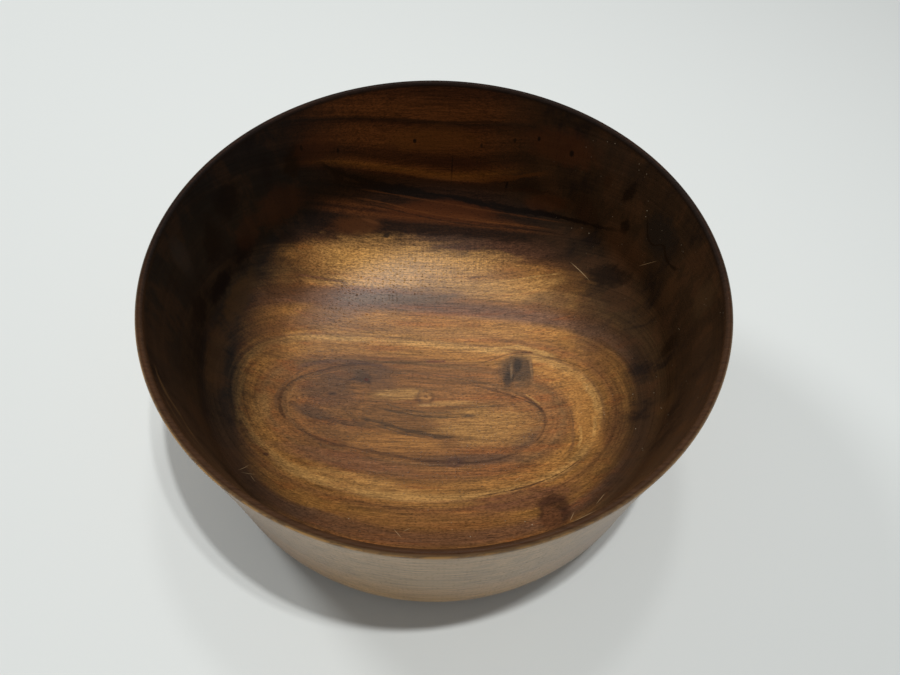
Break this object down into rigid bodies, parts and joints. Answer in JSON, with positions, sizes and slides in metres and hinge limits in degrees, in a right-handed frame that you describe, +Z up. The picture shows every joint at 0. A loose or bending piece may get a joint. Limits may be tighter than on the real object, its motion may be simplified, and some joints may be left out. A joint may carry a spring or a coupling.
{
  "type": "bowl",
  "caption": "Deep round turned wooden bowl with nearly straight sides, a thin rounded lip, a softly rounded inner corner and a low recessed foot.",
  "frame": {"origin": "middle of the foot, on the surface that the bowl stands on", "axes": "+Z up along the turning axis; X along the wood's grain"},
  "size_m": [0.3, 0.3, 0.128],
  "materials": {
    "wood": "dark figured hardwood with a satin oil finish"
  },
  "bodies": {
    "root": {"bowl": "wood"}
  },
  "joints": []
}
